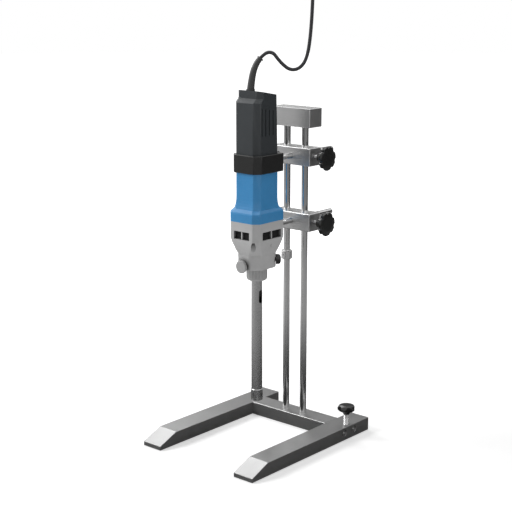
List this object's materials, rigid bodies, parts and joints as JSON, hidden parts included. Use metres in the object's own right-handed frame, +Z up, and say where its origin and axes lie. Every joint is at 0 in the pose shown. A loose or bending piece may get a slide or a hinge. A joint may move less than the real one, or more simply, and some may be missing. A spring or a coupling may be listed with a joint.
{
  "type": "high shear mixer",
  "caption": "High shear mixer: motor head with rotor-stator shaft, carried on two rods and sliding clamp blocks on a twin-column stand with a forked base.",
  "frame": {"origin": "on the bench, at the underside of the rear crossbar, midway between the two columns", "axes": "+Z up along the columns, -Y forwards to the mixing shaft and the leg tips, +X to the side with the clamp knobs and the level screw"},
  "size_m": [0.355, 0.499, 1.0873],
  "materials": {
    "base_steel": "satin ground",
    "screw_steel": "plated",
    "column_chrome": "polished",
    "block_metal": "satin ground",
    "collar_metal": "satin",
    "pad_rubber": "matte",
    "stud_steel": "bright zinc",
    "knob_plastic": "semi-gloss moulded",
    "brass_pad": "turned",
    "rod_steel": "ground",
    "collar_black": "satin black",
    "housing_grey": "satin paint on a die casting",
    "housing_blue": "semi-gloss moulded",
    "housing_black": "fine textured",
    "bearing_steel": "polished",
    "lamination_iron": "stacked sheets",
    "winding_copper": "enamelled wire",
    "shaft_steel": "ground",
    "commutator_copper": "turned",
    "fan_plastic": "moulded",
    "brush_carbon": "pressed carbon",
    "holder_brass": "pressed",
    "plate_aluminium": "cast",
    "gear_steel": "hobbed",
    "bush_plastic": "turned",
    "mixing_steel": "ground stainless",
    "nut_grey": "satin",
    "ring_steel": "turned",
    "selector_grey": "moulded",
    "button_black": "moulded",
    "board_plastic": "potted",
    "relief_rubber": "matte moulded",
    "cord_rubber": "matte",
    "fitting_plastic": "moulded"
  },
  "bodies": {
    "stand": {"left_leg": "base_steel", "right_leg": "base_steel", "rear_crossbar": "base_steel", "stand_screws": "screw_steel", "left_column": "column_chrome", "right_column": "column_chrome", "top_block": "block_metal"},
    "stop_collar": {"stop_collar": "collar_metal"},
    "level_foot": {"level_foot_pad": "pad_rubber"},
    "level_screw": {"level_spindle": "stud_steel", "level_knob": "knob_plastic"},
    "carriage": {"upper_clamp_block": "block_metal", "lower_clamp_block": "block_metal", "rod_set_screws": "screw_steel"},
    "upper_pad": {"upper_thrust_pad": "brass_pad"},
    "upper_clamp": {"upper_clamp_stud": "stud_steel", "upper_clamp_knob": "knob_plastic"},
    "lower_pad": {"lower_thrust_pad": "brass_pad"},
    "lower_clamp": {"lower_clamp_stud": "stud_steel", "lower_clamp_knob": "knob_plastic"},
    "head": {"upper_rod": "rod_steel", "lower_rod": "rod_steel", "motor_collar": "collar_black", "head_screws": "screw_steel", "gear_housing": "housing_grey", "motor_housing": "housing_blue", "rear_housing": "housing_black", "ball_bearings": "bearing_steel", "field_stator": "lamination_iron", "field_windings": "winding_copper", "carbon_brushes": "brush_carbon", "brush_holders": "holder_brass", "bearing_plate": "plate_aluminium", "gear_carrier_plate": "plate_aluminium", "plain_bushes": "bush_plastic", "outer_tube": "mixing_steel", "stator_head": "mixing_steel", "switch_and_speed_control": "board_plastic", "strain_relief": "relief_rubber", "mains_cord": "cord_rubber", "overhead_fitting": "fitting_plastic"},
    "armature": {"armature_shaft": "shaft_steel", "armature_core": "lamination_iron", "armature_windings": "winding_copper", "commutator": "commutator_copper", "cooling_fan": "fan_plastic"},
    "countershaft": {"countershaft": "shaft_steel", "countershaft_wheel": "gear_steel"},
    "drive": {"output_spindle": "shaft_steel", "output_wheel": "gear_steel", "shaft_coupling": "shaft_steel", "drive_shaft": "mixing_steel", "rotor": "mixing_steel"},
    "gear_selector": {"gear_selector": "selector_grey"},
    "lock_button": {"spindle_lock_button": "button_black"},
    "power_switch": {"power_switch": "button_black"},
    "speed_dial": {"speed_dial": "button_black"},
    "nut_ring": {"union_nut_ring": "ring_steel"},
    "union_nut": {"union_nut": "nut_grey"}
  },
  "joints": [
    {"name": "stop_collar_slide", "type": "slide", "parent": "stand", "child": "stop_collar", "axis": [0, 0, 1], "range_m": [-0.385, 0]},
    {"name": "level_foot_slide", "type": "slide", "parent": "stand", "child": "level_foot", "axis": [0, 0, 1], "range_m": [-0.012, 0]},
    {"name": "level_knob_turn", "type": "hinge", "parent": "level_foot", "child": "level_screw", "pos_m": [0.16, 0.0045, 0.03], "axis": [0, 0, 1], "range_deg": [-2150, 0]},
    {"name": "carriage_slide", "type": "slide", "parent": "stand", "child": "carriage", "axis": [0, 0, 1], "range_m": [-0.058, 0.047]},
    {"name": "upper_pad_slide", "type": "slide", "parent": "carriage", "child": "upper_pad", "axis": [1, 0, 0], "range_m": [0, 0.0079]},
    {"name": "upper_clamp_turn", "type": "hinge", "parent": "upper_pad", "child": "upper_clamp", "pos_m": [0.059, 0, 0.68], "axis": [1, 0, 0], "range_deg": [0, 1900]},
    {"name": "lower_pad_slide", "type": "slide", "parent": "carriage", "child": "lower_pad", "axis": [1, 0, 0], "range_m": [0, 0.0079]},
    {"name": "lower_clamp_turn", "type": "hinge", "parent": "lower_pad", "child": "lower_clamp", "pos_m": [0.059, 0, 0.522], "axis": [1, 0, 0], "range_deg": [0, 1900]},
    {"name": "reach_slide", "type": "slide", "parent": "carriage", "child": "head", "axis": [0, -1, 0], "range_m": [-0.05, 0.1]},
    {"name": "armature_spin", "type": "hinge", "parent": "head", "child": "armature", "pos_m": [0, -0.144, 0.63], "axis": [0, 0, 1], "continuous": true},
    {"name": "countershaft_spin", "type": "hinge", "parent": "head", "child": "countershaft", "pos_m": [0, -0.165, 0.46], "axis": [0, 0, 1], "continuous": true},
    {"name": "rotor_spin", "type": "hinge", "parent": "head", "child": "drive", "pos_m": [0, -0.144, 0.3], "axis": [0, 0, 1], "continuous": true},
    {"name": "gear_selector_turn", "type": "hinge", "parent": "head", "child": "gear_selector", "pos_m": [0, -0.194, 0.4385], "axis": [0, -1, 0], "range_deg": [0, 180]},
    {"name": "lock_button_press", "type": "slide", "parent": "head", "child": "lock_button", "axis": [-0.7071, -0.7071, 0], "range_m": [0, 0.004], "stiffness_N_per_m": 500, "springref_m": -0.002},
    {"name": "power_switch_slide", "type": "slide", "parent": "head", "child": "power_switch", "axis": [0, 0, 1], "range_m": [0, 0.006]},
    {"name": "speed_dial_turn", "type": "hinge", "parent": "head", "child": "speed_dial", "pos_m": [0, -0.1151, 0.806], "axis": [1, 0, 0], "range_deg": [0, 270]},
    {"name": "nut_ring_slide", "type": "slide", "parent": "head", "child": "nut_ring", "axis": [0, 0, 1], "range_m": [-0.009, 0]},
    {"name": "union_nut_turn", "type": "hinge", "parent": "nut_ring", "child": "union_nut", "pos_m": [0, -0.144, 0.41], "axis": [0, 0, 1], "range_deg": [-2150, 0]}
  ],
  "couplings": [
    {"joint": "level_foot_slide", "follows": "level_knob_turn", "m_per_rad": 0.00031831},
    {"joint": "upper_clamp_turn", "follows": "upper_pad_slide", "rad_per_m": 4188.8},
    {"joint": "lower_clamp_turn", "follows": "lower_pad_slide", "rad_per_m": 4188.8},
    {"joint": "countershaft_spin", "follows": "armature_spin", "ratio": -0.75},
    {"joint": "rotor_spin", "follows": "armature_spin", "ratio": 0.5625},
    {"joint": "nut_ring_slide", "follows": "union_nut_turn", "m_per_rad": 0.00023873}
  ]
}
